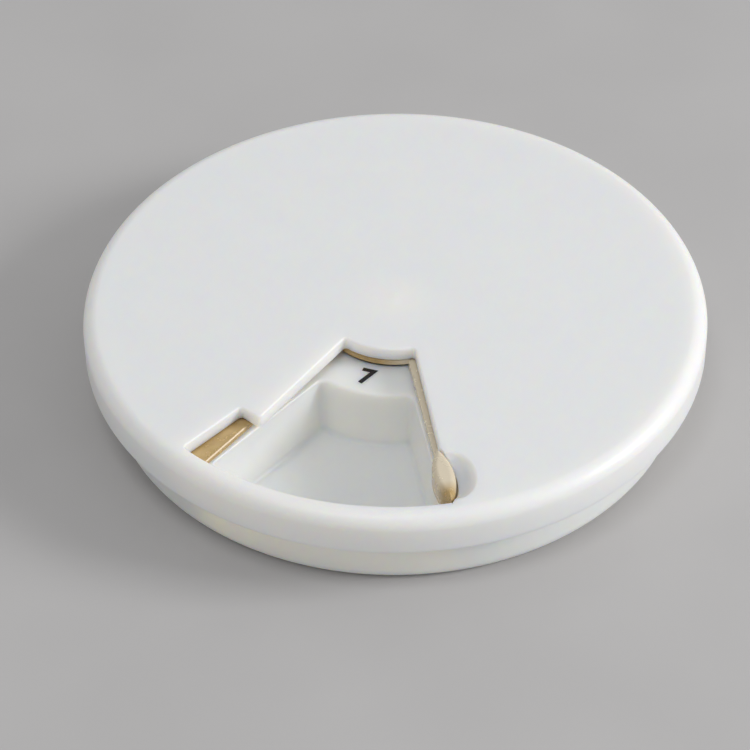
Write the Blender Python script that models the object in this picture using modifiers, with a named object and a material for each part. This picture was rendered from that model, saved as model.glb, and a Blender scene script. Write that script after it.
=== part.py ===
"""Round seven-compartment pill box: a windowed turning lid, an amber shutter disc and a compartment tray.

The box stands on the XY plane with +Z up, and its turning axis is the Z axis. The middle of the lid's window
faces -Y. Angles are measured at the axis from -Y and grow anticlockwise, seen from above. Lengths are metres.
"""

import math

import bmesh
import bpy
from mathutils import Vector

MM = 0.001

# Lid
LID_RADIUS = 45.0 * MM
LID_PLATE = 2.0 * MM
LID_SKIRT_WALL = 2.3 * MM
LID_SKIRT_DEPTH = 6.2 * MM
LID_EDGE_RADIUS = 2.2 * MM
LID_SKIRT_LIP_RADIUS = 0.4 * MM
LID_SKIRT_DRAFT = 0.15 * MM
GATE_MARK_RADIUS = 1.7 * MM
GATE_MARK_HEIGHT = 0.12 * MM

# Window in the lid, with a notch that receives the shutter's thumb nub
WINDOW_INNER_RADIUS = 10.8 * MM
WINDOW_OUTER_RADIUS = 42.0 * MM
WINDOW_SIDE_ANGLE = math.radians(22.2)
WINDOW_SIDE_SETBACK = 1.1 * MM
WINDOW_CORNER_RADIUS = 0.5 * MM
WINDOW_EDGE_RADIUS = 0.3 * MM
NOTCH_LENGTH = 11.0 * MM
NOTCH_ANGLE = math.radians(-30.7)
NOTCH_CORNER_RADIUS = 0.6 * MM

# Fingertip scoop beside the window
SCOOP_HALF_LENGTH = 4.8 * MM
SCOOP_HALF_WIDTH = 3.45 * MM
SCOOP_DEPTH = 1.5 * MM
SCOOP_RIM_LIFT = 0.5 * MM
SCOOP_RADIAL_PLACE = 36.8 * MM
SCOOP_ANGLE = math.radians(24.6)

# Shutter disc between the lid and the tray, open over one compartment
SHUTTER_PLATE = 0.9 * MM
SHUTTER_GAP = 0.3 * MM
SHUTTER_OVERHANG = 0.2 * MM
SHUTTER_HUB_WIDTH = 5.4 * MM
SHUTTER_HUB_CLEARANCE = 0.3 * MM
SHUTTER_LEADING_ANGLE = math.radians(23.1)
SHUTTER_TRAILING_ANGLE = math.radians(-24.4)
SHUTTER_TRAILING_SETBACK = 1.8 * MM
SHUTTER_CORNER_RADIUS = 1.5 * MM
SHUTTER_EDGE_RADIUS = 0.15 * MM

# Thumb nub on the shutter's leading edge
NUB_LENGTH = 10.4 * MM
NUB_WIDTH = 3.0 * MM
NUB_RADIAL_PLACE = 36.5 * MM
NUB_ANGLE = math.radians(23.4)
NUB_RISE_OVER_LID = 0.3 * MM
NUB_CROWN = 0.9 * MM
NUB_SLEEVE_CLEARANCE = 0.3 * MM

# Tray with its seven compartments
COMPARTMENTS = 7
TRAY_SKIRT_CLEARANCE = 0.9 * MM
TRAY_TOP = 11.2 * MM
TRAY_WALL = 1.8 * MM
TRAY_TOP_EDGE_RADIUS = 0.4 * MM
TRAY_BOTTOM_EDGE_RADIUS = 1.8 * MM
TRAY_TURN = math.radians(-2.2)
DIVIDER_THICKNESS = 1.3 * MM
POCKET_FLOOR_Z = 1.8 * MM
POCKET_FLOOR_THICKNESS = 1.2 * MM
POCKET_CORNER_RADIUS = 1.3 * MM
POCKET_FLOOR_RADIUS = 0.8 * MM
POCKET_DRAFT = 0.2 * MM
FOOT_RING_WIDTH = 2.6 * MM
FOOT_RING_SLOPE = 0.3 * MM

# Hub in the middle of the tray: a label ring round a sunken bearing well
LABEL_RING_OUTER_RADIUS = 16.7 * MM
LABEL_RING_INNER_RADIUS = 10.3 * MM
LABEL_RING_INNER_EDGE_RADIUS = 0.2 * MM
HUB_WALL = 1.6 * MM
WELL_DEPTH = 3.2 * MM
BEARING_COLLAR_RADIUS = 5.2 * MM
BEARING_COLLAR_DEPTH = 0.8 * MM

# Pivot: the boss under the lid and the split snap post that holds the lid in the tray's collar
BOSS_RADIUS = 5.0 * MM
BOSS_LIP_RADIUS = 0.3 * MM
PIVOT_CLEARANCE = 0.3 * MM
POST_RADIUS = 3.5 * MM
POST_WALL = 1.3 * MM
POST_BORE_RUN = 2.4 * MM
BARB_REACH = 0.9 * MM
BARB_CATCH_HEIGHT = 0.5 * MM
BARB_LEAD_HEIGHT = 1.2 * MM
POST_SLOT_WIDTH = 1.2 * MM
POST_SLOT_RUN = 0.6 * MM

# Faceting and cutting allowances
TURNED_STEPS = 96
SMALL_TURNED_STEPS = 40
ARC_STEP = 2.8 * MM
CORNER_STEPS = 4
EDGE_STEPS = 3
OVERRUN = 1.0 * MM
MERGE_DISTANCE = 0.00001
SMOOTH_ANGLE = math.radians(35)

# Sizes and heights that follow from the sizes above
TRAY_RADIUS = LID_RADIUS - LID_SKIRT_WALL - TRAY_SKIRT_CLEARANCE
LID_UNDERSIDE = TRAY_TOP + SHUTTER_GAP + SHUTTER_PLATE + SHUTTER_GAP
LID_TOP = LID_UNDERSIDE + LID_PLATE
SKIRT_BOTTOM = LID_TOP - LID_SKIRT_DEPTH
SHUTTER_BOTTOM = TRAY_TOP + SHUTTER_GAP
SHUTTER_TOP = SHUTTER_BOTTOM + SHUTTER_PLATE
WELL_FLOOR = TRAY_TOP - WELL_DEPTH
WELL_UNDERSIDE = WELL_FLOOR - HUB_WALL
COLLAR_BOTTOM = WELL_UNDERSIDE - BEARING_COLLAR_DEPTH
BOSS_BOTTOM = WELL_FLOOR + PIVOT_CLEARANCE
BARB_TOP = COLLAR_BOTTOM - PIVOT_CLEARANCE
POST_BOTTOM = BARB_TOP - BARB_CATCH_HEIGHT - BARB_LEAD_HEIGHT
BARB_RADIUS = POST_RADIUS + BARB_REACH
PIVOT_BORE_RADIUS = POST_RADIUS + PIVOT_CLEARANCE
COMPARTMENT_PITCH = 2 * math.pi / COMPARTMENTS

WHITE_LID = (0.80, 0.80, 0.81, 1.0)
WHITE_TRAY = (0.80, 0.79, 0.76, 1.0)
AMBER_SHUTTER = (0.60, 0.43, 0.21, 1.0)


def clear_scene():
    for item in list(bpy.data.objects):
        bpy.data.objects.remove(item)


def new_collection(name):
    group = bpy.data.collections.new(name)
    bpy.context.scene.collection.children.link(group)
    return group


def plastic(name, colour, roughness, transmission):
    material = bpy.data.materials.new(name)
    material.use_nodes = True
    shader = material.node_tree.nodes["Principled BSDF"]
    shader.inputs["Base Color"].default_value = colour
    shader.inputs["Roughness"].default_value = roughness
    shader.inputs["Metallic"].default_value = 0.0
    shader.inputs["Transmission Weight"].default_value = transmission
    return material


def polar(radius, angle):
    """Point on the plan at this radius and angle."""
    return Vector((radius * math.sin(angle), -radius * math.cos(angle), 0))


def section(radius, height):
    """Point of a turned profile, in the XZ plane."""
    return Vector((radius, 0, height))


def section_arc(centre, radius, start, end, steps):
    """Points of a profile's round, from one angle to another, where 0 degrees points away from the axis."""
    points = []
    for index in range(steps + 1):
        angle = math.radians(start + (end - start) * index / steps)
        points.append(centre + Vector((radius * math.cos(angle), 0, radius * math.sin(angle))))
    return points


def plan_arc(radius, start, end):
    """Points between two angles of a circle round the axis, without its two ends."""
    steps = max(2, round(radius * abs(end - start) / ARC_STEP))
    return [polar(radius, start + (end - start) * index / steps) for index in range(1, steps)]


def round_corners(points):
    """Closed outline in which each (point, radius) pair with a radius is rounded off."""
    outline = []
    for index, (point, radius) in enumerate(points):
        if not radius:
            outline.append(point)
            continue
        back = (points[index - 1][0] - point).normalized()
        ahead = (points[(index + 1) % len(points)][0] - point).normalized()
        half = back.angle(ahead) / 2
        centre = point + (back + ahead).normalized() * radius / math.sin(half)
        start = point + back * radius / math.tan(half) - centre
        end = point + ahead * radius / math.tan(half) - centre
        for step in range(CORNER_STEPS + 1):
            outline.append(centre + start.slerp(end, step / CORNER_STEPS) * radius)
    return outline


def offset_outline(outline, distance):
    """The anticlockwise outline moved outwards by a distance, with mitred corners."""
    moved = []
    for index, point in enumerate(outline):
        back = (point - outline[index - 1]).normalized()
        ahead = (outline[(index + 1) % len(outline)] - point).normalized()
        along = (back + ahead).normalized()
        outwards = Vector((along.y, -along.x, 0))
        moved.append(point + outwards * distance / back.dot(along))
    return moved


def at_height(outline, height):
    return [Vector((point.x, point.y, height)) for point in outline]


def add_object(name, mesh, group, material=None):
    item = bpy.data.objects.new(name, mesh)
    group.objects.link(item)
    if material:
        mesh.materials.append(material)
    return item


def turned(name, profile, group, steps, material=None):
    """Solid of a closed profile turned once round the Z axis."""
    mesh = bpy.data.meshes.new(name)
    ends = [(index, (index + 1) % len(profile)) for index in range(len(profile))]
    if profile[0].x == 0 and profile[-1].x == 0:
        ends.pop()
    mesh.from_pydata(profile, ends, [])
    item = add_object(name, mesh, group, material)
    screw = item.modifiers.new("turn", "SCREW")
    screw.steps = steps
    screw.render_steps = steps
    screw.use_merge_vertices = True
    screw.merge_threshold = MERGE_DISTANCE
    return item


def loft(name, rings, group, material=None):
    """Solid through outlines of equal count, from the lowest to the highest, with flat ends."""
    shape = bmesh.new()
    rows = [[shape.verts.new(point) for point in ring] for ring in rings]
    count = len(rings[0])
    for lower, upper in zip(rows, rows[1:]):
        for index in range(count):
            after = (index + 1) % count
            shape.faces.new((lower[index], lower[after], upper[after], upper[index]))
    shape.faces.new(reversed(rows[0]))
    shape.faces.new(rows[-1])
    bmesh.ops.recalc_face_normals(shape, faces=shape.faces)
    mesh = bpy.data.meshes.new(name)
    shape.to_mesh(mesh)
    shape.free()
    return add_object(name, mesh, group, material)


def box(name, size, centre, turn, group):
    """Plain box of full sizes along its own axes, turned about Z."""
    shape = bmesh.new()
    bmesh.ops.create_cube(shape, size=1.0)
    bmesh.ops.scale(shape, vec=size, verts=shape.verts)
    mesh = bpy.data.meshes.new(name)
    shape.to_mesh(mesh)
    shape.free()
    item = add_object(name, mesh, group)
    item.location = centre
    item.rotation_euler.z = turn
    return item


def as_cutter(item):
    item.hide_render = True
    item.display_type = "WIRE"
    return item


def cut(item, cutter, operation="DIFFERENCE"):
    change = item.modifiers.new(cutter.name, "BOOLEAN")
    change.operation = operation
    change.object = as_cutter(cutter)


def settle(item):
    """Replaces the object's mesh with its evaluated one, smooth apart from its sharp edges."""
    bpy.context.view_layer.update()
    result = bpy.data.meshes.new_from_object(item.evaluated_get(bpy.context.evaluated_depsgraph_get()))
    item.modifiers.clear()
    item.data = result
    result.shade_smooth()
    result.set_sharp_from_angle(angle=SMOOTH_ANGLE)


def side_angle(radius):
    """Angle at which the window's straight side crosses a circle round the axis."""
    return WINDOW_SIDE_ANGLE + math.asin(WINDOW_SIDE_SETBACK / radius)


def window_outline():
    """Window with straight sides and, at its outer left, the notch for the thumb nub."""
    notch_radius = WINDOW_OUTER_RADIUS - NOTCH_LENGTH
    right = side_angle(WINDOW_OUTER_RADIUS)
    inner = side_angle(WINDOW_INNER_RADIUS)
    step_in = -side_angle(notch_radius)
    points = [(polar(WINDOW_OUTER_RADIUS, NOTCH_ANGLE), NOTCH_CORNER_RADIUS)]
    points += [(point, 0) for point in plan_arc(WINDOW_OUTER_RADIUS, NOTCH_ANGLE, right)]
    points.append((polar(WINDOW_OUTER_RADIUS, right), NOTCH_CORNER_RADIUS))
    points.append((polar(WINDOW_INNER_RADIUS, inner), WINDOW_CORNER_RADIUS))
    points += [(point, 0) for point in plan_arc(WINDOW_INNER_RADIUS, inner, -inner)]
    points.append((polar(WINDOW_INNER_RADIUS, -inner), WINDOW_CORNER_RADIUS))
    points.append((polar(notch_radius, step_in), NOTCH_CORNER_RADIUS))
    points.append((polar(notch_radius, NOTCH_ANGLE), NOTCH_CORNER_RADIUS))
    return round_corners(points)


def grown_window(growth):
    return offset_outline(window_outline(), growth)


def rolled_rings(drawn, start, top, radius, sign):
    """Rings of a shape, drawn(growth) on the plan, that widens (sign 1) or narrows (sign -1) near its top."""
    rings = [at_height(drawn(0), start)]
    for index in range(EDGE_STEPS + 1):
        angle = math.pi / 2 * index / EDGE_STEPS
        growth = sign * radius * (1 - math.cos(angle))
        rings.append(at_height(drawn(growth), top - radius + radius * math.sin(angle)))
    return rings


def nub_outline(growth):
    """Pointed oval of the thumb nub on the plan, made of two arcs and grown by the same amount all round."""
    half_width = NUB_WIDTH / 2
    drawn_radius = ((NUB_LENGTH / 2) ** 2 + half_width**2) / NUB_WIDTH
    arc_radius = drawn_radius + growth
    set_back = drawn_radius - half_width
    sweep = math.acos(set_back / arc_radius)
    centre = polar(NUB_RADIAL_PLACE, NUB_ANGLE)
    outwards = polar(1, NUB_ANGLE)
    across = Vector((-outwards.y, outwards.x, 0))
    points = []
    for side in (1, -1):
        for index in range(2 * CORNER_STEPS):
            angle = -sweep + 2 * sweep * index / (2 * CORNER_STEPS)
            width = arc_radius * math.cos(angle) - set_back
            length = arc_radius * math.sin(angle)
            points.append(centre + side * (across * width - outwards * length))
    return points


def make_scoop(group):
    """Shallow dish for a fingertip, cut from an ellipsoid whose middle lies a little over the lid."""
    shape = bmesh.new()
    bmesh.ops.create_uvsphere(shape, u_segments=24, v_segments=12, radius=1.0)
    mesh = bpy.data.meshes.new("scoop_cutter")
    shape.to_mesh(mesh)
    shape.free()
    scoop = add_object("scoop_cutter", mesh, group)
    scoop.scale = (SCOOP_HALF_WIDTH, SCOOP_HALF_LENGTH, SCOOP_DEPTH + SCOOP_RIM_LIFT)
    scoop.rotation_euler.z = SCOOP_ANGLE
    scoop.location = polar(SCOOP_RADIAL_PLACE, SCOOP_ANGLE) + Vector((0, 0, LID_TOP + SCOOP_RIM_LIFT))
    return scoop


def lid_profile():
    """Half section of the lid: raised gate mark, plate, rounded edge, skirt, boss and hollow post with its barb."""
    skirt_inner = LID_RADIUS - LID_SKIRT_WALL
    profile = [section(0, LID_TOP + GATE_MARK_HEIGHT)]
    profile.append(section(GATE_MARK_RADIUS / 2, LID_TOP + GATE_MARK_HEIGHT * 0.8))
    profile.append(section(GATE_MARK_RADIUS, LID_TOP))
    edge = section(LID_RADIUS - LID_EDGE_RADIUS, LID_TOP - LID_EDGE_RADIUS)
    profile += section_arc(edge, LID_EDGE_RADIUS, 90, 0, 2 * EDGE_STEPS)
    lip = section(LID_RADIUS - LID_SKIRT_LIP_RADIUS, SKIRT_BOTTOM + LID_SKIRT_LIP_RADIUS)
    profile += section_arc(lip, LID_SKIRT_LIP_RADIUS, 0, -90, 2)
    profile.append(section(skirt_inner + LID_SKIRT_DRAFT, SKIRT_BOTTOM))
    profile.append(section(skirt_inner, LID_UNDERSIDE))
    profile.append(section(BOSS_RADIUS, LID_UNDERSIDE))
    boss_lip = section(BOSS_RADIUS - BOSS_LIP_RADIUS, BOSS_BOTTOM + BOSS_LIP_RADIUS)
    profile += section_arc(boss_lip, BOSS_LIP_RADIUS, 0, -90, 2)
    profile.append(section(POST_RADIUS, BOSS_BOTTOM))
    profile.append(section(POST_RADIUS, BARB_TOP))
    profile.append(section(BARB_RADIUS, BARB_TOP))
    profile.append(section(BARB_RADIUS, BARB_TOP - BARB_CATCH_HEIGHT))
    profile.append(section(POST_RADIUS, POST_BOTTOM))
    profile.append(section(POST_RADIUS - POST_WALL, POST_BOTTOM))
    profile.append(section(POST_RADIUS - POST_WALL, BOSS_BOTTOM + POST_BORE_RUN))
    profile.append(section(0, BOSS_BOTTOM + POST_BORE_RUN))
    return profile


def make_post_slot(index, group):
    """Slot across the post, which splits it into four springing legs together with its twin."""
    top = BOSS_BOTTOM + POST_SLOT_RUN
    bottom = POST_BOTTOM - OVERRUN
    size = (POST_SLOT_WIDTH, 2 * (BOSS_RADIUS + OVERRUN), top - bottom)
    return box(f"post_slot_cutter_{index + 1}", size, Vector((0, 0, (top + bottom) / 2)), index * math.pi / 2, group)


def make_lid(group, cutters, material):
    lid = turned("lid", lid_profile(), group, TURNED_STEPS, material)
    rings = rolled_rings(grown_window, LID_UNDERSIDE - OVERRUN, LID_TOP, WINDOW_EDGE_RADIUS, 1)
    rings.append(at_height(grown_window(WINDOW_EDGE_RADIUS), LID_TOP + OVERRUN))
    cut(lid, loft("window_cutter", rings, cutters))
    nest = nub_outline(NUB_SLEEVE_CLEARANCE)
    nest_rings = [at_height(nest, LID_UNDERSIDE - OVERRUN), at_height(nest, LID_TOP + OVERRUN)]
    cut(lid, loft("nub_nest_cutter", nest_rings, cutters))
    cut(lid, make_scoop(cutters))
    for index in range(2):
        cut(lid, make_post_slot(index, cutters))
    settle(lid)
    return lid


def shutter_outline():
    """Disc with a sector opening whose trailing side is set back, without the bore at its middle."""
    rim = TRAY_RADIUS + SHUTTER_OVERHANG
    hub = BOSS_RADIUS + SHUTTER_HUB_CLEARANCE + SHUTTER_HUB_WIDTH
    leading = SHUTTER_LEADING_ANGLE
    behind = 2 * math.pi + SHUTTER_TRAILING_ANGLE
    rim_trailing = behind - math.asin(SHUTTER_TRAILING_SETBACK / rim)
    hub_trailing = behind - math.asin(SHUTTER_TRAILING_SETBACK / hub)
    points = [(polar(rim, leading), SHUTTER_CORNER_RADIUS)]
    points += [(point, 0) for point in plan_arc(rim, leading, rim_trailing)]
    points.append((polar(rim, rim_trailing), SHUTTER_CORNER_RADIUS))
    points.append((polar(hub, hub_trailing), 0))
    points += [(point, 0) for point in plan_arc(hub, hub_trailing, leading + 2 * math.pi)]
    points.append((polar(hub, leading), 0))
    return round_corners(points)


def make_shutter(group, cutters, material):
    outline = shutter_outline()
    rings = [at_height(offset_outline(outline, -SHUTTER_EDGE_RADIUS), SHUTTER_BOTTOM)]
    rings.append(at_height(outline, SHUTTER_BOTTOM + SHUTTER_EDGE_RADIUS))
    rings.append(at_height(outline, SHUTTER_TOP - SHUTTER_EDGE_RADIUS))
    rings.append(at_height(offset_outline(outline, -SHUTTER_EDGE_RADIUS), SHUTTER_TOP))
    shutter = loft("shutter", rings, group, material)
    crown = LID_TOP + NUB_RISE_OVER_LID
    nub_rings = rolled_rings(nub_outline, SHUTTER_BOTTOM + SHUTTER_EDGE_RADIUS, crown, NUB_CROWN, -1)
    cut(shutter, loft("nub_solid", nub_rings, cutters), "UNION")
    bore = BOSS_RADIUS + SHUTTER_HUB_CLEARANCE
    bore_profile = [section(0, SHUTTER_TOP + OVERRUN), section(bore, SHUTTER_TOP + OVERRUN)]
    bore_profile += [section(bore, SHUTTER_BOTTOM - OVERRUN), section(0, SHUTTER_BOTTOM - OVERRUN)]
    cut(shutter, turned("hub_bore_cutter", bore_profile, cutters, SMALL_TURNED_STEPS))
    settle(shutter)
    return shutter


def tray_profile():
    """Half section of the tray before its pockets are cut: label ring, rim, foot ring and cored hub."""
    underside = POCKET_FLOOR_Z - POCKET_FLOOR_THICKNESS
    core_radius = LABEL_RING_OUTER_RADIUS - HUB_WALL
    well_outer = LABEL_RING_INNER_RADIUS + HUB_WALL
    foot_outer = TRAY_RADIUS - TRAY_BOTTOM_EDGE_RADIUS
    profile = [section(PIVOT_BORE_RADIUS, WELL_FLOOR), section(LABEL_RING_INNER_RADIUS, WELL_FLOOR)]
    inner_round = LABEL_RING_INNER_EDGE_RADIUS
    inner_edge = section(LABEL_RING_INNER_RADIUS + inner_round, TRAY_TOP - inner_round)
    profile += section_arc(inner_edge, inner_round, 180, 90, 2)
    rim_edge = section(TRAY_RADIUS - TRAY_TOP_EDGE_RADIUS, TRAY_TOP - TRAY_TOP_EDGE_RADIUS)
    profile += section_arc(rim_edge, TRAY_TOP_EDGE_RADIUS, 90, 0, 2)
    bottom_edge = section(foot_outer, TRAY_BOTTOM_EDGE_RADIUS)
    profile += section_arc(bottom_edge, TRAY_BOTTOM_EDGE_RADIUS, 0, -90, 2 * EDGE_STEPS)
    profile.append(section(foot_outer - FOOT_RING_WIDTH, 0))
    profile.append(section(foot_outer - FOOT_RING_WIDTH - FOOT_RING_SLOPE, underside))
    profile.append(section(core_radius, underside))
    profile.append(section(core_radius, TRAY_TOP - HUB_WALL))
    profile.append(section(well_outer, TRAY_TOP - HUB_WALL))
    profile.append(section(well_outer, WELL_UNDERSIDE))
    profile.append(section(BEARING_COLLAR_RADIUS, WELL_UNDERSIDE))
    profile.append(section(BEARING_COLLAR_RADIUS, COLLAR_BOTTOM))
    profile.append(section(PIVOT_BORE_RADIUS, COLLAR_BOTTOM))
    return profile


def pocket_outline(middle):
    """Plan of one compartment: two arcs round the axis and two sides parallel to the dividers."""
    half_pitch = COMPARTMENT_PITCH / 2
    outer_radius = TRAY_RADIUS - TRAY_WALL
    inner_radius = LABEL_RING_OUTER_RADIUS
    outer = half_pitch - math.asin(DIVIDER_THICKNESS / 2 / outer_radius)
    inner = half_pitch - math.asin(DIVIDER_THICKNESS / 2 / inner_radius)
    points = [(polar(outer_radius, middle - outer), POCKET_CORNER_RADIUS)]
    points += [(point, 0) for point in plan_arc(outer_radius, middle - outer, middle + outer)]
    points.append((polar(outer_radius, middle + outer), POCKET_CORNER_RADIUS))
    points.append((polar(inner_radius, middle + inner), POCKET_CORNER_RADIUS))
    points += [(point, 0) for point in plan_arc(inner_radius, middle + inner, middle - inner)]
    points.append((polar(inner_radius, middle - inner), POCKET_CORNER_RADIUS))
    return round_corners(points)


def make_pocket_cutter(index, group):
    """Space of one compartment, with draft on its walls and a round at its floor."""
    outline = pocket_outline(TRAY_TURN + index * COMPARTMENT_PITCH)
    rings = []
    for step in range(EDGE_STEPS + 1):
        angle = math.pi / 2 * step / EDGE_STEPS
        inset = POCKET_DRAFT + POCKET_FLOOR_RADIUS * (1 - math.sin(angle))
        height = POCKET_FLOOR_Z + POCKET_FLOOR_RADIUS * (1 - math.cos(angle))
        rings.append(at_height(offset_outline(outline, -inset), height))
    rings.append(at_height(outline, TRAY_TOP + OVERRUN))
    return loft(f"pocket_cutter_{index + 1}", rings, group)


def make_tray(group, cutters, material):
    tray = turned("tray", tray_profile(), group, TURNED_STEPS, material)
    for index in range(COMPARTMENTS):
        cut(tray, make_pocket_cutter(index, cutters))
    settle(tray)
    return tray


def main():
    clear_scene()
    parts = new_collection("round_pill_box")
    cutters = new_collection("cutters")
    cutters.hide_render = True
    lid_plastic = plastic("lid_plastic", WHITE_LID, 0.38, 0.0)
    tray_plastic = plastic("tray_plastic", WHITE_TRAY, 0.35, 0.0)
    amber_plastic = plastic("amber_plastic", AMBER_SHUTTER, 0.14, 0.3)
    make_lid(parts, cutters, lid_plastic)
    make_shutter(parts, cutters, amber_plastic)
    make_tray(parts, cutters, tray_plastic)


main()
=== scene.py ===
"""Round pill box, its finish and its studio: a windowed lid, an amber shutter disc and a divided tray."""

import math

import bmesh
import bpy
from mathutils import Matrix, Vector


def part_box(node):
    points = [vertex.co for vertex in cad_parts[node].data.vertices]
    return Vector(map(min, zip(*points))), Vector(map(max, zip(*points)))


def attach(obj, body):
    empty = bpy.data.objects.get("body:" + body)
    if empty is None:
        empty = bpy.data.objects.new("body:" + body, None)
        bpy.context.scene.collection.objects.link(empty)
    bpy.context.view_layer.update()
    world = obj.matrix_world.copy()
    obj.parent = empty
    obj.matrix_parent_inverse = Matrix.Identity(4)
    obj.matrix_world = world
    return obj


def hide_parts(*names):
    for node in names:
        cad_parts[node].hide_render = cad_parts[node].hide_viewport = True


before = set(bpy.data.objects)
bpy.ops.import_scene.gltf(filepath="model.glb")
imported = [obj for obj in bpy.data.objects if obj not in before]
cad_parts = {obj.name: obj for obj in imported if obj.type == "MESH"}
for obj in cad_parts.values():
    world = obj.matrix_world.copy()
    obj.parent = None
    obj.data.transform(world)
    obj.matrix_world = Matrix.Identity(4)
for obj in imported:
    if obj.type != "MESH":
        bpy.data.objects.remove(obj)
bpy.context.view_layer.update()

MM = 0.001
lid_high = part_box("lid")[1]
shutter_low, shutter_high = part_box("shutter")
tray_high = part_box("tray")[1]

# Lid
LID_RADIUS = lid_high.x
LID_PLATE = 2.0 * MM
LID_SKIRT_WALL = 2.3 * MM
LID_SKIRT_DEPTH = 6.2 * MM
LID_EDGE_RADIUS = 2.2 * MM
LID_SKIRT_LIP_RADIUS = 0.4 * MM
LID_SKIRT_DRAFT = 0.15 * MM
GATE_MARK_RADIUS = 1.7 * MM
GATE_MARK_HEIGHT = 0.12 * MM

# Window in the lid, with a notch that receives the shutter's thumb nub
WINDOW_INNER_RADIUS = 10.8 * MM
WINDOW_OUTER_RADIUS = 42.0 * MM
WINDOW_SIDE_ANGLE = math.radians(22.2)
WINDOW_SIDE_SETBACK = 1.1 * MM
WINDOW_CORNER_RADIUS = 0.5 * MM
WINDOW_EDGE_RADIUS = 0.3 * MM
NOTCH_LENGTH = 11.0 * MM
NOTCH_ANGLE = math.radians(-30.7)
NOTCH_CORNER_RADIUS = 0.6 * MM

# Fingertip scoop beside the window
SCOOP_HALF_LENGTH = 4.8 * MM
SCOOP_HALF_WIDTH = 3.45 * MM
SCOOP_DEPTH = 1.5 * MM
SCOOP_RIM_LIFT = 0.5 * MM
SCOOP_RADIAL_PLACE = 36.8 * MM
SCOOP_ANGLE = math.radians(24.6)
SCOOP_EDGE_RADIUS = 0.35 * MM
SCOOP_RINGS = 14
SCOOP_STEPS = 72

# Shutter disc between the lid and the tray, open over one compartment
SHUTTER_GAP = 0.3 * MM
SHUTTER_PLATE = 0.9 * MM
SHUTTER_OVERHANG = 0.2 * MM
SHUTTER_HUB_WIDTH = 5.4 * MM
SHUTTER_HUB_CLEARANCE = 0.3 * MM
SHUTTER_LEADING_ANGLE = math.radians(23.1)
SHUTTER_TRAILING_ANGLE = math.radians(-24.4)
SHUTTER_TRAILING_SETBACK = 1.8 * MM
SHUTTER_CORNER_RADIUS = 1.5 * MM
SHUTTER_EDGE_RADIUS = 0.15 * MM

# Thumb nub on the shutter's leading edge
NUB_LENGTH = 10.4 * MM
NUB_WIDTH = 3.0 * MM
NUB_RADIAL_PLACE = 36.5 * MM
NUB_ANGLE = math.radians(23.4)
NUB_CROWN = 0.9 * MM
NUB_SLEEVE_CLEARANCE = 0.3 * MM

# Tray with its seven compartments
COMPARTMENTS = 7
TRAY_RADIUS = tray_high.x
TRAY_TOP = tray_high.z
TRAY_WALL = 1.8 * MM
TRAY_TOP_EDGE_RADIUS = 0.4 * MM
TRAY_BOTTOM_EDGE_RADIUS = 1.8 * MM
TRAY_TURN = math.radians(-2.2)
DIVIDER_THICKNESS = 1.3 * MM
DIVIDER_EDGE_RADIUS = 0.25 * MM
POCKET_FLOOR_Z = 1.8 * MM
POCKET_FLOOR_THICKNESS = 1.2 * MM
POCKET_CORNER_RADIUS = 1.3 * MM
POCKET_FLOOR_RADIUS = 0.8 * MM
POCKET_DRAFT = 0.2 * MM
FOOT_RING_WIDTH = 2.6 * MM
FOOT_RING_SLOPE = 0.3 * MM

# Hub in the middle of the tray: a label ring round a sunken bearing well
LABEL_RING_OUTER_RADIUS = 16.7 * MM
LABEL_RING_INNER_RADIUS = 10.3 * MM
LABEL_RING_INNER_EDGE_RADIUS = 0.2 * MM
LABEL_RING_EDGE_RADIUS = 0.55 * MM
HUB_WALL = 1.6 * MM
WELL_DEPTH = 3.2 * MM
BEARING_COLLAR_RADIUS = 5.2 * MM
BEARING_COLLAR_DEPTH = 0.8 * MM

# Pivot: the boss under the lid and the split snap post that holds the lid in the tray's collar
BOSS_RADIUS = 5.0 * MM
BOSS_LIP_RADIUS = 0.3 * MM
PIVOT_CLEARANCE = 0.3 * MM
POST_RADIUS = 3.5 * MM
POST_WALL = 1.3 * MM
POST_BORE_RUN = 2.4 * MM
BARB_REACH = 0.9 * MM
BARB_CATCH_HEIGHT = 0.5 * MM
BARB_LEAD_HEIGHT = 1.2 * MM
POST_SLOT_WIDTH = 1.2 * MM
POST_SLOT_RUN = 0.6 * MM

# Numbers printed on the label ring
NUMBER_HEIGHT = 3.0 * MM
NUMBER_RADIAL_PLACE = 13.4 * MM
NUMBER_THICKNESS = 0.02 * MM
NUMBER_WEIGHT = 0.042
NUMBER_SWING = math.radians(-2.6)
FONT_DIGIT_SHARE = 0.7
FONT_CURVE_STEPS = 8

# Finish. Each noise is its features per metre and its detail, and each gloss is a range of roughness.
RAMP_START = 0.35
RAMP_END = 0.65
PLASTIC_IOR = 1.49

# White plastic of the lid and the tray
LID_LIGHT = (0.940, 0.938, 0.936, 1.0)
LID_SHADE = (0.925, 0.923, 0.921, 1.0)
LID_GLOSS = (0.34, 0.42)
TRAY_LIGHT = (0.950, 0.930, 0.888, 1.0)
TRAY_SHADE = (0.935, 0.915, 0.873, 1.0)
TRAY_GLOSS = (0.30, 0.40)
MOTTLE_NOISE = (90.0, 3.0)
SHEEN_NOISE = (260.0, 4.0)
GRAIN_NOISE = (5200.0, 2.0)
GRAIN_STRENGTH = 0.06
GRAIN_HEIGHT = 0.04 * MM
SINK_COLOURS = (1.0, 0.78, 0.50)
SINK_DEPTH = 3.0 * MM

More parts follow.
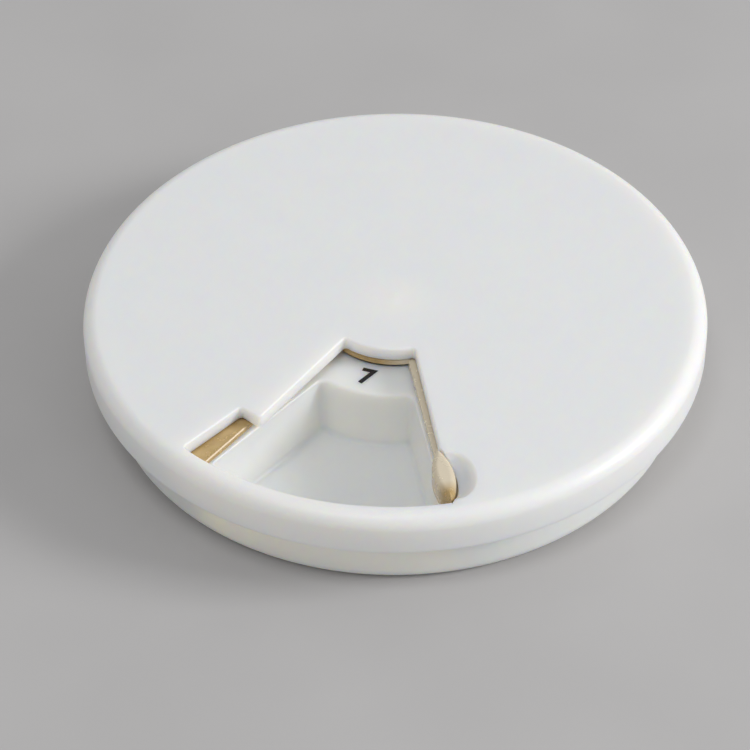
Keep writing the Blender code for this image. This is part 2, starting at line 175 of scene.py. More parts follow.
# Amber plastic with a painted sheen of reflected light and of white showing through. The sheen makes it paler
# along its leading side and towards the nub's crest, and fades out at the nub's outer end, which keeps the
# plastic's own deeper amber
AMBER_DEEP = (0.56, 0.39, 0.165, 1.0)
AMBER_LIGHT = (0.66, 0.48, 0.225, 1.0)
AMBER_PAINTED_SHEEN = (0.90, 0.81, 0.64, 1.0)
AMBER_GLOSS = (0.20, 0.32)
AMBER_TRANSMISSION = 0.2
FLOW_NOISE = (420.0, 3.0)
HAZE_NOISE = (900.0, 2.0)
RIPPLE_NOISE = (700.0, 1.0)
RIPPLE_STRENGTH = 0.10
RIPPLE_HEIGHT = 0.1 * MM
SHEEN_SIDE_START = 0.5 * MM
SHEEN_SIDE_END = 4.0 * MM
SHEEN_FADE_START = 38.2 * MM
SHEEN_FADE_END = 40.2 * MM

# Ink of the numbers
INK_DEEP = (0.004, 0.004, 0.005, 1.0)
INK_LIGHT = (0.016, 0.016, 0.018, 1.0)
INK_NOISE = (3000.0, 3.0)
INK_ROUGHNESS = 0.45

# Fineness of the meshes
TURNED_STEPS = 288
ARC_STEP = 0.7 * MM
CORNER_STEPS = 8
EDGE_STEPS = 6
OVERRUN = 1.0 * MM
MERGE_DISTANCE = 0.00001
SMOOTH_ANGLE = math.radians(32)
LEVEL_NORMAL = 0.9999

# Heights that follow from the sizes above
LID_UNDERSIDE = shutter_low.z + SHUTTER_PLATE + SHUTTER_GAP
LID_TOP = LID_UNDERSIDE + LID_PLATE
SKIRT_BOTTOM = LID_TOP - LID_SKIRT_DEPTH
SHUTTER_BOTTOM = shutter_low.z
SHUTTER_TOP = SHUTTER_BOTTOM + SHUTTER_PLATE
NUB_TOP = shutter_high.z
WELL_FLOOR = TRAY_TOP - WELL_DEPTH
WELL_UNDERSIDE = WELL_FLOOR - HUB_WALL
COLLAR_BOTTOM = WELL_UNDERSIDE - BEARING_COLLAR_DEPTH
BOSS_BOTTOM = WELL_FLOOR + PIVOT_CLEARANCE
BARB_TOP = COLLAR_BOTTOM - PIVOT_CLEARANCE
POST_BOTTOM = BARB_TOP - BARB_CATCH_HEIGHT - BARB_LEAD_HEIGHT
BARB_RADIUS = POST_RADIUS + BARB_REACH
PIVOT_BORE_RADIUS = POST_RADIUS + PIVOT_CLEARANCE
COMPARTMENT_PITCH = 2 * math.pi / COMPARTMENTS

# The photograph's camera, worked out from the outlines of the lid and the tray
CAMERA_SWING = math.radians(13.2)
CAMERA_ELEVATION = math.radians(42.64)
CAMERA_DISTANCE = 0.4413
CAMERA_AIM_RIGHT = -0.006858
CAMERA_AIM_UP = -0.000259
CAMERA_ROLL = math.radians(-0.813)
FRAME_PIXELS = 750
FOCAL_PIXELS = 2993
SENSOR_WIDTH_MM = 36.0
CAMERA_CLIP_START = 0.01
CAMERA_CLIP_END = 10.0
SWING = Matrix.Rotation(CAMERA_SWING, 3, "Z")

# Studio. Each lamp is its place with the camera over -Y, its size, its power in watts and its colour.
SIDE_LAMP = ((1.0, -0.12, 0.52), 0.36, 7.0, (1.0, 0.985, 0.965))
TOP_LAMP = ((-0.15, -0.35, 1.08), 0.34, 1.9, (1.0, 0.99, 0.975))
WORLD_COLOUR = (1.0, 0.985, 0.965, 1.0)
WORLD_STRENGTH = 0.48
FLOOR_SIZE = 1.5
FLOOR_DEEP = (0.50, 0.50, 0.51, 1.0)
FLOOR_LIGHT = (0.52, 0.52, 0.53, 1.0)
FLOOR_NOISE = (30.0, 2.0)
FLOOR_ROUGHNESS = 0.6
FLOOR_SPECULAR = 0.2


def polar(radius, angle):
    """Point on the plan at this radius and angle, where the window's middle lies at angle 0, on -Y."""
    return Vector((radius * math.sin(angle), -radius * math.cos(angle), 0))


def section(radius, height):
    return Vector((radius, 0, height))


def section_arc(centre, radius, start, end, steps=EDGE_STEPS):
    """Points of a profile's round, from one angle to another, where 0 degrees points away from the axis."""
    points = []
    for index in range(steps + 1):
        angle = math.radians(start + (end - start) * index / steps)
        points.append(centre + Vector((radius * math.cos(angle), 0, radius * math.sin(angle))))
    return points


def arc_steps(sweep):
    """Steps of an arc round the axis, as fine as the lid's rim needs."""
    return max(2, round(WINDOW_OUTER_RADIUS * abs(sweep) / ARC_STEP))


def plan_arc(radius, start, end, reach=ARC_STEP, steps=None):
    """Points of a circle round the axis between two corners, each of which takes up a reach of it."""
    steps = steps or arc_steps(end - start)
    start_gap = math.copysign(reach / radius, end - start)
    first = start + start_gap
    sweep = end - start - 2 * start_gap
    return [polar(radius, first + sweep * index / steps) for index in range(steps + 1)]


def round_corners(points):
    """Closed outline in which each (point, radius) pair with a radius is rounded off."""
    outline = []
    for index, (point, radius) in enumerate(points):
        if not radius:
            outline.append(point)
            continue
        back = (points[index - 1][0] - point).normalized()
        ahead = (points[(index + 1) % len(points)][0] - point).normalized()
        half = back.angle(ahead) / 2
        centre = point + (back + ahead).normalized() * radius / math.sin(half)
        start = point + back * radius / math.tan(half) - centre
        end = point + ahead * radius / math.tan(half) - centre
        for step in range(CORNER_STEPS + 1):
            outline.append(centre + start.slerp(end, step / CORNER_STEPS) * radius)
    return outline


def offset_outline(outline, distance):
    """The anticlockwise outline moved outwards by a distance, with mitred corners."""
    moved = []
    for index, point in enumerate(outline):
        back = (point - outline[index - 1]).normalized()
        ahead = (outline[(index + 1) % len(outline)] - point).normalized()
        along = (back + ahead).normalized()
        outwards = Vector((along.y, -along.x, 0))
        moved.append(point + outwards * distance / back.dot(along))
    return moved


def at_height(outline, height):
    return [Vector((point.x, point.y, height)) for point in outline]


def add_object(name, data):
    item = bpy.data.objects.new(name, data)
    bpy.context.scene.collection.objects.link(item)
    return item


def mesh_from(shape, name):
    mesh = bpy.data.meshes.new(name)
    shape.to_mesh(mesh)
    shape.free()
    return mesh


def turned(name, profile):
    """Solid of a closed profile turned once round the Z axis."""
    mesh = bpy.data.meshes.new(name)
    edges = [(index, (index + 1) % len(profile)) for index in range(len(profile))]
    if profile[0].x == 0 and profile[-1].x == 0:
        edges.pop()
    mesh.from_pydata(profile, edges, [])
    item = add_object(name, mesh)
    screw = item.modifiers.new("turn", "SCREW")
    screw.steps = TURNED_STEPS
    screw.render_steps = TURNED_STEPS
    screw.use_merge_vertices = True
    screw.merge_threshold = MERGE_DISTANCE
    return item


def loft(name, rings):
    """Solid through outlines of equal count, from the lowest to the highest, with flat ends."""
    shape = bmesh.new()
    rows = [[shape.verts.new(point) for point in ring] for ring in rings]
    count = len(rings[0])
    for lower, upper in zip(rows, rows[1:]):
        for index in range(count):
            after = (index + 1) % count
            shape.faces.new((lower[index], lower[after], upper[after], upper[index]))
    shape.faces.new(reversed(rows[0]))
    shape.faces.new(rows[-1])
    bmesh.ops.recalc_face_normals(shape, faces=shape.faces)
    return add_object(name, mesh_from(shape, name))


def box(name, size, centre, turn):
    shape = bmesh.new()
    bmesh.ops.create_cube(shape, size=1.0)
    bmesh.ops.scale(shape, vec=size, verts=shape.verts)
    item = add_object(name, mesh_from(shape, name))
    item.location = centre
    item.rotation_euler.z = turn
    return item


def evaluated_mesh(item):
    """Mesh that the object's modifiers, or its text, come to."""
    bpy.context.view_layer.update()
    return bpy.data.meshes.new_from_object(item.evaluated_get(bpy.context.evaluated_depsgraph_get()))


def bake(item):
    """Turns the object's modifiers into plain mesh."""
    result = evaluated_mesh(item)
    item.modifiers.clear()
    item.data = result


def smooth(item):
    """Smooth shading with sharp hard edges, in which a level face stays flat up to its rounded edge."""
    mesh = item.data
    mesh.shade_smooth()
    mesh.set_sharp_from_angle(angle=SMOOTH_ANGLE)
    normals = [corner.vector.copy() for corner in mesh.corner_normals]
    level = {}
    for face in mesh.polygons:
        if abs(face.normal.z) > LEVEL_NORMAL:
            for vertex in face.vertices:
                level[vertex] = face.normal.copy()
    for index, loop in enumerate(mesh.loops):
        flat = level.get(loop.vertex_index)
        if flat and normals[index].angle(flat) < SMOOTH_ANGLE:
            normals[index] = flat
    mesh.normals_split_custom_set(normals)


def carve(item, cutters, operation="DIFFERENCE"):
    """Applies each cutter to the object, and removes it."""
    for cutter in cutters:
        change = item.modifiers.new(cutter.name, "BOOLEAN")
        change.operation = operation
        change.object = cutter
    bake(item)
    for cutter in cutters:
        bpy.data.objects.remove(cutter)


def side_angle(radius):
    """Angle at which the window's straight side crosses a circle round the axis."""
    return WINDOW_SIDE_ANGLE + math.asin(WINDOW_SIDE_SETBACK / radius)


def window_outline():
    """Window with straight sides and, at its outer left, the notch for the thumb nub."""
    notch_radius = WINDOW_OUTER_RADIUS - NOTCH_LENGTH
    right = side_angle(WINDOW_OUTER_RADIUS)
    inner = side_angle(WINDOW_INNER_RADIUS)
    step_in = -side_angle(notch_radius)
    points = [(polar(WINDOW_OUTER_RADIUS, NOTCH_ANGLE), NOTCH_CORNER_RADIUS)]
    reach = ARC_STEP + NOTCH_CORNER_RADIUS
    points += [(point, 0) for point in plan_arc(WINDOW_OUTER_RADIUS, NOTCH_ANGLE, right, reach)]
    points.append((polar(WINDOW_OUTER_RADIUS, right), NOTCH_CORNER_RADIUS))
    points.append((polar(WINDOW_INNER_RADIUS, inner), WINDOW_CORNER_RADIUS))
    reach = ARC_STEP + WINDOW_CORNER_RADIUS
    points += [(point, 0) for point in plan_arc(WINDOW_INNER_RADIUS, inner, -inner, reach)]
    points.append((polar(WINDOW_INNER_RADIUS, -inner), WINDOW_CORNER_RADIUS))
    points.append((polar(notch_radius, step_in), NOTCH_CORNER_RADIUS))
    points.append((polar(notch_radius, NOTCH_ANGLE), NOTCH_CORNER_RADIUS))
    return round_corners(points)


def grown_window(growth):
    return offset_outline(window_outline(), growth)


def rolled_rings(drawn, start, top, radius, sign):
    """Rings of a shape, drawn(growth) on the plan, that widens (sign 1) or narrows (sign -1) near its top."""
    rings = [at_height(drawn(0), start)]
    for index in range(EDGE_STEPS + 1):
        angle = math.pi / 2 * index / EDGE_STEPS
        growth = sign * radius * (1 - math.cos(angle))
        rings.append(at_height(drawn(growth), top - radius + radius * math.sin(angle)))
    return rings


def nub_outline(growth):
    """Pointed oval of the thumb nub on the plan, made of two arcs and grown by the same amount all round."""
    half_width = NUB_WIDTH / 2
    drawn_radius = ((NUB_LENGTH / 2) ** 2 + half_width**2) / NUB_WIDTH
    arc_radius = drawn_radius + growth
    set_back = drawn_radius - half_width
    sweep = math.acos(set_back / arc_radius)
    centre = polar(NUB_RADIAL_PLACE, NUB_ANGLE)
    outwards = polar(1, NUB_ANGLE)
    across = Vector((-outwards.y, outwards.x, 0))
    steps = 3 * CORNER_STEPS
    points = []
    for side in (1, -1):
        for index in range(steps):
            angle = -sweep + 2 * sweep * index / steps
            width = arc_radius * math.cos(angle) - set_back
            length = arc_radius * math.sin(angle)
            points.append(centre + side * (across * width - outwards * length))
    return points


def scoop_ring(height, growth):
    """Ellipse at which the dish crosses a height under the lid's top, grown by an amount."""
    reach = math.sqrt(1 - ((height + SCOOP_RIM_LIFT) / (SCOOP_DEPTH + SCOOP_RIM_LIFT)) ** 2)
    along = polar(SCOOP_HALF_LENGTH * reach + growth, SCOOP_ANGLE)
    across = polar(SCOOP_HALF_WIDTH * reach + growth, SCOOP_ANGLE + math.pi / 2)
    centre = polar(SCOOP_RADIAL_PLACE, SCOOP_ANGLE) + Vector((0, 0, LID_TOP - height))
    turns = [2 * math.pi * index / SCOOP_STEPS for index in range(SCOOP_STEPS)]
    return [centre + along * math.cos(turn) + across * math.sin(turn) for turn in turns]


def make_scoop():
    """Dish for a fingertip: part of an ellipsoid centred a little over the lid, with a soft rim."""
    rings = []
    for index in range(1, SCOOP_RINGS + 1):
        share = math.cos(math.pi / 2 * index / SCOOP_RINGS)
        rings.append(scoop_ring(SCOOP_EDGE_RADIUS + (SCOOP_DEPTH - SCOOP_EDGE_RADIUS) * share, 0))
    for index in range(1, EDGE_STEPS + 1):
        angle = math.pi / 2 * index / EDGE_STEPS
        growth = SCOOP_EDGE_RADIUS * (1 - math.cos(angle))
        rings.append(scoop_ring(SCOOP_EDGE_RADIUS * (1 - math.sin(angle)), growth))
    rings.append([point + Vector((0, 0, OVERRUN)) for point in rings[-1]])
    return loft("scoop_cutter", rings)


def lid_profile():
    """Half section of the lid: gate mark, plate, rounded edge, skirt, boss and hollow post with its barb."""
    skirt_inner = LID_RADIUS - LID_SKIRT_WALL
    profile = []
    for index in range(EDGE_STEPS + 1):
        share = index / EDGE_STEPS
        rise = GATE_MARK_HEIGHT * (0.5 + 0.5 * math.cos(math.pi * share))
        profile.append(section(GATE_MARK_RADIUS * share, LID_TOP + rise))
    edge = section(LID_RADIUS - LID_EDGE_RADIUS, LID_TOP - LID_EDGE_RADIUS)
    profile += section_arc(edge, LID_EDGE_RADIUS, 90, 0, 3 * EDGE_STEPS)
    lip = section(LID_RADIUS - LID_SKIRT_LIP_RADIUS, SKIRT_BOTTOM + LID_SKIRT_LIP_RADIUS)
    profile += section_arc(lip, LID_SKIRT_LIP_RADIUS, 0, -90)
    profile.append(section(skirt_inner + LID_SKIRT_DRAFT, SKIRT_BOTTOM))
    profile.append(section(skirt_inner, LID_UNDERSIDE))
    profile.append(section(BOSS_RADIUS, LID_UNDERSIDE))
    boss_lip = section(BOSS_RADIUS - BOSS_LIP_RADIUS, BOSS_BOTTOM + BOSS_LIP_RADIUS)
    profile += section_arc(boss_lip, BOSS_LIP_RADIUS, 0, -90)
    profile.append(section(POST_RADIUS, BOSS_BOTTOM))
    profile.append(section(POST_RADIUS, BARB_TOP))
    profile.append(section(BARB_RADIUS, BARB_TOP))
    profile.append(section(BARB_RADIUS, BARB_TOP - BARB_CATCH_HEIGHT))
    profile.append(section(POST_RADIUS, POST_BOTTOM))
    profile.append(section(POST_RADIUS - POST_WALL, POST_BOTTOM))
    profile.append(section(POST_RADIUS - POST_WALL, BOSS_BOTTOM + POST_BORE_RUN))
    profile.append(section(0, BOSS_BOTTOM + POST_BORE_RUN))
    return profile


def make_post_slot(index):
    """Slot across the post, which splits it into four springing legs together with its twin."""
    top = BOSS_BOTTOM + POST_SLOT_RUN
    bottom = POST_BOTTOM - OVERRUN
    size = (POST_SLOT_WIDTH, 2 * (BOSS_RADIUS + OVERRUN), top - bottom)
    return box(f"post_slot_{index}", size, Vector((0, 0, (top + bottom) / 2)), index * math.pi / 2)


def make_lid(material):
    lid = turned("lid_shell", lid_profile())
    rings = rolled_rings(grown_window, LID_UNDERSIDE - OVERRUN, LID_TOP, WINDOW_EDGE_RADIUS, 1)
    rings.append(at_height(grown_window(WINDOW_EDGE_RADIUS), LID_TOP + OVERRUN))
    window = loft("window_cutter", rings)
    nest = nub_outline(NUB_SLEEVE_CLEARANCE)
    nest_rings = [at_height(nest, LID_UNDERSIDE - OVERRUN), at_height(nest, LID_TOP + OVERRUN)]
    slots = [make_post_slot(index) for index in range(2)]
    carve(lid, [window, loft("nest_cutter", nest_rings), make_scoop()] + slots)
    smooth(lid)
    lid.data.materials.append(material)
    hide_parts("lid")
    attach(lid, "lid")


def shutter_outline():
    """Disc with a sector opening whose trailing side is set back, without the bore at its middle."""
    rim = TRAY_RADIUS + SHUTTER_OVERHANG
    hub = BOSS_RADIUS + SHUTTER_HUB_CLEARANCE + SHUTTER_HUB_WIDTH
    leading = SHUTTER_LEADING_ANGLE
    behind = 2 * math.pi + SHUTTER_TRAILING_ANGLE
    rim_trailing = behind - math.asin(SHUTTER_TRAILING_SETBACK / rim)
    hub_trailing = behind - math.asin(SHUTTER_TRAILING_SETBACK / hub)
    points = [(polar(rim, leading), SHUTTER_CORNER_RADIUS)]
    points += [(point, 0) for point in plan_arc(rim, leading, rim_trailing, ARC_STEP + SHUTTER_CORNER_RADIUS)]
    points.append((polar(rim, rim_trailing), SHUTTER_CORNER_RADIUS))
    points.append((polar(hub, hub_trailing), 0))
    points += [(point, 0) for point in plan_arc(hub, hub_trailing, leading + 2 * math.pi)]
    points.append((polar(hub, leading), 0))
    return round_corners(points)


def make_shutter(material):
    outline = shutter_outline()
    rings = [at_height(offset_outline(outline, -SHUTTER_EDGE_RADIUS), SHUTTER_BOTTOM)]
    rings.append(at_height(outline, SHUTTER_BOTTOM + SHUTTER_EDGE_RADIUS))
    rings.append(at_height(outline, SHUTTER_TOP - SHUTTER_EDGE_RADIUS))
    rings.append(at_height(offset_outline(outline, -SHUTTER_EDGE_RADIUS), SHUTTER_TOP))
    shutter = loft("amber_shutter", rings)
    nub_rings = rolled_rings(nub_outline, SHUTTER_BOTTOM + SHUTTER_EDGE_RADIUS, NUB_TOP, NUB_CROWN, -1)
    bore = BOSS_RADIUS + SHUTTER_HUB_CLEARANCE
    bore_profile = [section(0, SHUTTER_TOP + OVERRUN), section(bore, SHUTTER_TOP + OVERRUN)]
    bore_profile += [section(bore, SHUTTER_BOTTOM - OVERRUN), section(0, SHUTTER_BOTTOM - OVERRUN)]
    carve(shutter, [loft("nub", nub_rings)], "UNION")
    carve(shutter, [turned("hub_bore_cutter", bore_profile)])
    smooth(shutter)
    shutter.data.materials.append(material)
    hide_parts("shutter")
    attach(shutter, "shutter")


def tray_profile():
    """Half section of the tray before its pockets are cut: label ring, rim, foot ring and cored hub."""
    underside = POCKET_FLOOR_Z - POCKET_FLOOR_THICKNESS
    core_radius = LABEL_RING_OUTER_RADIUS - HUB_WALL
    well_outer = LABEL_RING_INNER_RADIUS + HUB_WALL
    foot_outer = TRAY_RADIUS - TRAY_BOTTOM_EDGE_RADIUS
    profile = [section(PIVOT_BORE_RADIUS, WELL_FLOOR), section(LABEL_RING_INNER_RADIUS, WELL_FLOOR)]
    inner_round = LABEL_RING_INNER_EDGE_RADIUS
    inner_edge = section(LABEL_RING_INNER_RADIUS + inner_round, TRAY_TOP - inner_round)
    profile += section_arc(inner_edge, inner_round, 180, 90)
    rim_edge = section(TRAY_RADIUS - TRAY_TOP_EDGE_RADIUS, TRAY_TOP - TRAY_TOP_EDGE_RADIUS)
    profile += section_arc(rim_edge, TRAY_TOP_EDGE_RADIUS, 90, 0)
    bottom_edge = section(foot_outer, TRAY_BOTTOM_EDGE_RADIUS)
    profile += section_arc(bottom_edge, TRAY_BOTTOM_EDGE_RADIUS, 0, -90, 2 * EDGE_STEPS)
    profile.append(section(foot_outer - FOOT_RING_WIDTH, 0))
    profile.append(section(foot_outer - FOOT_RING_WIDTH - FOOT_RING_SLOPE, underside))
    profile.append(section(core_radius, underside))
    profile.append(section(core_radius, TRAY_TOP - HUB_WALL))
    profile.append(section(well_outer, TRAY_TOP - HUB_WALL))
    profile.append(section(well_outer, WELL_UNDERSIDE))
    profile.append(section(BEARING_COLLAR_RADIUS, WELL_UNDERSIDE))
    profile.append(section(BEARING_COLLAR_RADIUS, COLLAR_BOTTOM))
    profile.append(section(PIVOT_BORE_RADIUS, COLLAR_BOTTOM))
    return profile


def edge_reach(radius, below_top):
    """How far a rounded top edge of this radius draws back at a depth below the top."""
    if below_top >= radius:
        return 0.0
    return radius - math.sqrt(radius**2 - (radius - below_top) ** 2)


def pocket_outline(middle, inset, below_top):
    """Plan of one compartment, drawn in by the inset and widened where the rounded edges fall away."""
    half_pitch = COMPARTMENT_PITCH / 2
    divider = DIVIDER_THICKNESS / 2 - edge_reach(DIVIDER_EDGE_RADIUS, below_top) + inset
    outer_radius = TRAY_RADIUS - TRAY_WALL + edge_reach(DIVIDER_EDGE_RADIUS, below_top) - inset
    inner_radius = LABEL_RING_OUTER_RADIUS - edge_reach(LABEL_RING_EDGE_RADIUS, below_top) + inset
    corner = POCKET_CORNER_RADIUS - inset
    outer = half_pitch - math.asin(divider / outer_radius)
    inner = half_pitch - math.asin(divider / inner_radius)
    steps = arc_steps(COMPARTMENT_PITCH)
    points = [(polar(outer_radius, middle - outer), corner)]
    reach = ARC_STEP + POCKET_CORNER_RADIUS
    points += [(point, 0) for point in plan_arc(outer_radius, middle - outer, middle + outer, reach, steps)]
    points.append((polar(outer_radius, middle + outer), corner))
    points.append((polar(inner_radius, middle + inner), corner))
    points += [(point, 0) for point in plan_arc(inner_radius, middle + inner, middle - inner, reach, steps)]
    points.append((polar(inner_radius, middle - inner), corner))
    return round_corners(points)


def make_pocket_cutter(index):
    """Space of one compartment, with draft on its walls, a round at its floor and rounded upper edges."""
    middle = TRAY_TURN + index * COMPARTMENT_PITCH
    depth = TRAY_TOP - POCKET_FLOOR_Z
    rings = []
    for step in range(EDGE_STEPS + 1):
        angle = math.pi / 2 * step / EDGE_STEPS
        inset = POCKET_DRAFT + POCKET_FLOOR_RADIUS * (1 - math.sin(angle))
        height = POCKET_FLOOR_Z + POCKET_FLOOR_RADIUS * (1 - math.cos(angle))
        rings.append(at_height(pocket_outline(middle, inset, depth), height))
    steps = 2 * EDGE_STEPS
    for step in range(steps, -1, -1):
        below = LABEL_RING_EDGE_RADIUS * (1 - math.cos(math.pi / 2 * step / steps))
        rings.append(at_height(pocket_outline(middle, 0.0, below), TRAY_TOP - below))
    rings.append(at_height(pocket_outline(middle, 0.0, 0.0), TRAY_TOP + OVERRUN))
    return loft(f"pocket_cutter_{index}", rings)


def make_tray(material):
    tray = turned("tray_body", tray_profile())
    carve(tray, [make_pocket_cutter(index) for index in range(COMPARTMENTS)])
    smooth(tray)
    tray.data.materials.append(material)
    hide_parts("tray")
    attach(tray, "tray")


def make_number(index, material):
    """Number printed on the label ring at a compartment, read from the rim."""
    text = bpy.data.curves.new(f"number_{index + 1}", "FONT")
    text.body = str((COMPARTMENTS - 1 + index) % COMPARTMENTS + 1)
    text.size = NUMBER_HEIGHT / FONT_DIGIT_SHARE
    text.align_x = "CENTER"
    text.align_y = "CENTER"
    text.extrude = NUMBER_THICKNESS / 2
    text.offset = NUMBER_WEIGHT * NUMBER_HEIGHT
    text.resolution_u = FONT_CURVE_STEPS
    guide = add_object(text.name, text)
    mesh = evaluated_mesh(guide)
    bpy.data.objects.remove(guide)
    number = add_object(f"label_number_{index + 1}", mesh)
    angle = TRAY_TURN + index * COMPARTMENT_PITCH + NUMBER_SWING
    number.location = polar(NUMBER_RADIAL_PLACE, angle) + Vector((0, 0, TRAY_TOP + NUMBER_THICKNESS / 2))
    number.rotation_euler.z = angle
    number.data.materials.append(material)
    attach(number, "tray")


def new_material(name):
    material = bpy.data.materials.new(name)
    material.use_nodes = True
    nodes = material.node_tree.nodes
    return material, nodes, material.node_tree.links, nodes["Principled BSDF"]


def add_noise(nodes, links, noise_sizes):
    """Value of a noise in the piece's own coordinates."""
    place = nodes.new("ShaderNodeTexCoord")
    noise = nodes.new("ShaderNodeTexNoise")
    noise.inputs["Scale"].default_value, noise.inputs["Detail"].default_value = noise_sizes
    links.new(place.outputs["Object"], noise.inputs["Vector"])
    return noise.outputs["Fac"]


def add_mottle(nodes, links, noise_sizes, low, high):
    """Colour that wanders between two others."""
    ramp = nodes.new("ShaderNodeValToRGB")
    ramp.color_ramp.elements[0].position = RAMP_START
    ramp.color_ramp.elements[0].color = low
    ramp.color_ramp.elements[1].position = RAMP_END
    ramp.color_ramp.elements[1].color = high
    links.new(add_noise(nodes, links, noise_sizes), ramp.inputs["Fac"])
    return ramp.outputs["Color"]


def add_gloss(nodes, links, shader, noise_sizes, gloss):
    """Roughness that wanders through its range."""
    spread = nodes.new("ShaderNodeMapRange")
    spread.inputs["To Min"].default_value, spread.inputs["To Max"].default_value = gloss
    links.new(add_noise(nodes, links, noise_sizes), spread.inputs["Value"])
    links.new(spread.outputs["Result"], shader.inputs["Roughness"])


def add_relief(nodes, links, shader, noise_sizes, strength, height):
    """Fine relief of the surface."""
    bump = nodes.new("ShaderNodeBump")
    bump.inputs["Strength"].default_value = strength
    bump.inputs["Distance"].default_value = height
    links.new(add_noise(nodes, links, noise_sizes), bump.inputs["Height"])
    links.new(bump.outputs["Normal"], shader.inputs["Normal"])


def moulded_white(name, light, shade, gloss):
    """White moulded plastic: faint mottling, a fine texture, and light that sinks in and comes out warm."""
    material, nodes, links, shader = new_material(name)
    links.new(add_mottle(nodes, links, MOTTLE_NOISE, shade, light), shader.inputs["Base Color"])
    add_gloss(nodes, links, shader, SHEEN_NOISE, gloss)
    add_relief(nodes, links, shader, GRAIN_NOISE, GRAIN_STRENGTH, GRAIN_HEIGHT)
    shader.inputs["IOR"].default_value = PLASTIC_IOR
    shader.inputs["Subsurface Weight"].default_value = 1.0
    shader.inputs["Subsurface Radius"].default_value = SINK_COLOURS
    shader.inputs["Subsurface Scale"].default_value = SINK_DEPTH
    return material


def add_slope(nodes, links, direction, start, end, both_ways=False):
    """Value from 0 to 1 between two distances from the axis' foot, measured along a direction."""
    place = nodes.new("ShaderNodeTexCoord")
    along = nodes.new("ShaderNodeVectorMath")
    along.operation = "DOT_PRODUCT"
    links.new(place.outputs["Object"], along.inputs[0])
    along.inputs[1].default_value = direction
    distance = along.outputs["Value"]
    if both_ways:
        distance = add_math(nodes, links, "ABSOLUTE", distance)
    run = nodes.new("ShaderNodeMapRange")
    run.inputs["From Min"].default_value = start
    run.inputs["From Max"].default_value = end
    links.new(distance, run.inputs["Value"])
    return run.outputs["Result"]


def add_math(nodes, links, operation, first, second=None):
    step = nodes.new("ShaderNodeMath")
    step.operation = operation
    links.new(first, step.inputs[0])
    if second:
        links.new(second, step.inputs[1])
    return step.outputs["Value"]


def amber_plastic():
    """Translucent amber plastic with flow marks, and a painted sheen that makes it paler by its leading side
    and towards the nub's crest.
    """
    material, nodes, links, shader = new_material("amber_plastic")
    crest = add_slope(nodes, links, (0, 0, 1), SHUTTER_TOP, NUB_TOP)
    across = Vector((math.cos(SHUTTER_LEADING_ANGLE), math.sin(SHUTTER_LEADING_ANGLE), 0))
    lead = add_slope(nodes, links, across, SHEEN_SIDE_END, SHEEN_SIDE_START, True)
    inboard = add_slope(nodes, links, polar(1, NUB_ANGLE), SHEEN_FADE_END, SHEEN_FADE_START)
    # Painted sheen: a paler colour by the leading side and the nub's crest that stands in for reflected light
    # and for white showing through
    painted_sheen = add_math(nodes, links, "MULTIPLY", add_math(nodes, links, "MAXIMUM", crest, lead), inboard)
    blend = nodes.new("ShaderNodeMix")
    blend.data_type = "RGBA"
    blend.inputs["B"].default_value = AMBER_PAINTED_SHEEN
    links.new(painted_sheen, blend.inputs["Factor"])
    links.new(add_mottle(nodes, links, FLOW_NOISE, AMBER_DEEP, AMBER_LIGHT), blend.inputs["A"])
    links.new(blend.outputs["Result"], shader.inputs["Base Color"])
    add_gloss(nodes, links, shader, HAZE_NOISE, AMBER_GLOSS)
    add_relief(nodes, links, shader, RIPPLE_NOISE, RIPPLE_STRENGTH, RIPPLE_HEIGHT)
    shader.inputs["Transmission Weight"].default_value = AMBER_TRANSMISSION
    shader.inputs["IOR"].default_value = PLASTIC_IOR
    return material


def printed_black():
    """Black pad-printed ink with slightly uneven cover."""
    material, nodes, links, shader = new_material("printed_black")
    links.new(add_mottle(nodes, links, INK_NOISE, INK_DEEP, INK_LIGHT), shader.inputs["Base Color"])
    shader.inputs["Roughness"].default_value = INK_ROUGHNESS
    return material


def floor_material():
    material, nodes, links, shader = new_material("floor_paper")
    links.new(add_mottle(nodes, links, FLOOR_NOISE, FLOOR_DEEP, FLOOR_LIGHT), shader.inputs["Base Color"])
    shader.inputs["Roughness"].default_value = FLOOR_ROUGHNESS
    shader.inputs["Specular IOR Level"].default_value = FLOOR_SPECULAR
    return material


def make_floor():
    shape = bmesh.new()
    bmesh.ops.create_grid(shape, x_segments=1, y_segments=1, size=FLOOR_SIZE)
    floor = add_object("floor", mesh_from(shape, "floor"))
    floor.data.materials.append(floor_material())


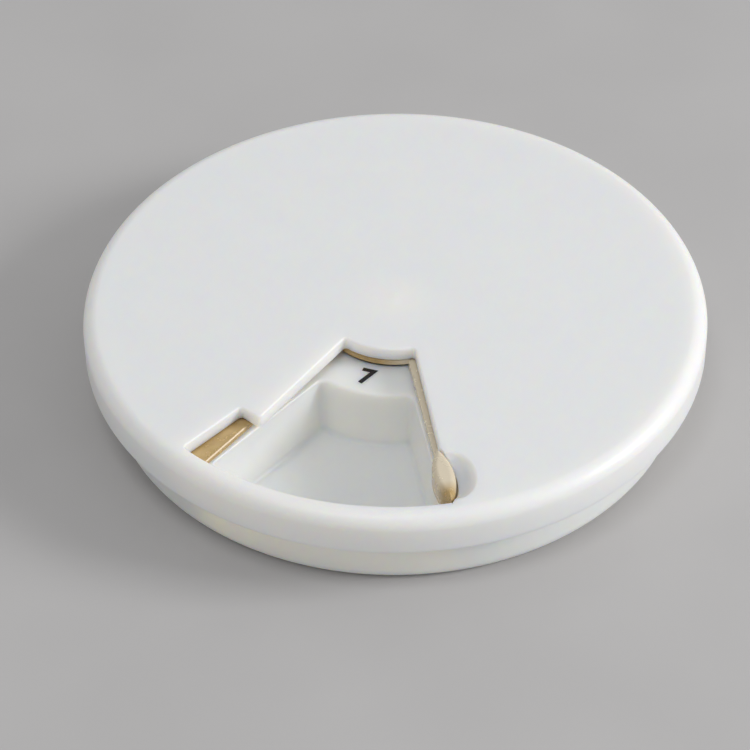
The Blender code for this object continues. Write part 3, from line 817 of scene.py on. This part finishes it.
def make_lamp(name, place, size, power, colour):
    """Square soft lamp that faces the middle of the box."""
    data = bpy.data.lights.new(name, "AREA")
    data.shape = "SQUARE"
    data.size = size
    data.energy = power
    data.color = colour
    lamp = add_object(name, data)
    lamp.location = SWING @ Vector(place)
    lamp.rotation_mode = "QUATERNION"
    lamp.rotation_quaternion = (-lamp.location).to_track_quat("-Z", "Y")


def make_studio():
    world = bpy.data.worlds.new("studio")
    world.use_nodes = True
    background = world.node_tree.nodes["Background"]
    background.inputs["Color"].default_value = WORLD_COLOUR
    background.inputs["Strength"].default_value = WORLD_STRENGTH
    bpy.context.scene.world = world
    make_lamp("side_lamp", *SIDE_LAMP)
    make_lamp("top_lamp", *TOP_LAMP)


def make_camera():
    """The photograph's camera, swung round the axis by the angle at which it saw the window."""
    data = bpy.data.cameras.new("photo_camera")
    data.sensor_width = SENSOR_WIDTH_MM
    data.lens = SENSOR_WIDTH_MM * FOCAL_PIXELS / FRAME_PIXELS
    data.clip_start = CAMERA_CLIP_START
    data.clip_end = CAMERA_CLIP_END
    back = Vector((0, -math.cos(CAMERA_ELEVATION), math.sin(CAMERA_ELEVATION)))
    up = Vector((0, math.sin(CAMERA_ELEVATION), math.cos(CAMERA_ELEVATION)))
    ahead = (-back + Vector((1, 0, 0)) * CAMERA_AIM_RIGHT + up * CAMERA_AIM_UP).normalized()
    right = ahead.cross(Vector((0, 0, 1))).normalized()
    up = right.cross(ahead)
    rolled_right = right * math.cos(CAMERA_ROLL) + up * math.sin(CAMERA_ROLL)
    rolled_up = up * math.cos(CAMERA_ROLL) - right * math.sin(CAMERA_ROLL)
    basis = Matrix((rolled_right, rolled_up, -ahead)).transposed()
    camera = add_object("photo_camera", data)
    camera.matrix_world = Matrix.Translation(SWING @ back * CAMERA_DISTANCE) @ (SWING @ basis).to_4x4()
    bpy.context.scene.camera = camera


bpy.context.scene.view_settings.view_transform = "Standard"
make_camera()
make_studio()
make_floor()
make_lid(moulded_white("lid_white", LID_LIGHT, LID_SHADE, LID_GLOSS))
make_shutter(amber_plastic())
make_tray(moulded_white("tray_white", TRAY_LIGHT, TRAY_SHADE, TRAY_GLOSS))
ink = printed_black()
for compartment in range(COMPARTMENTS):
    make_number(compartment, ink)
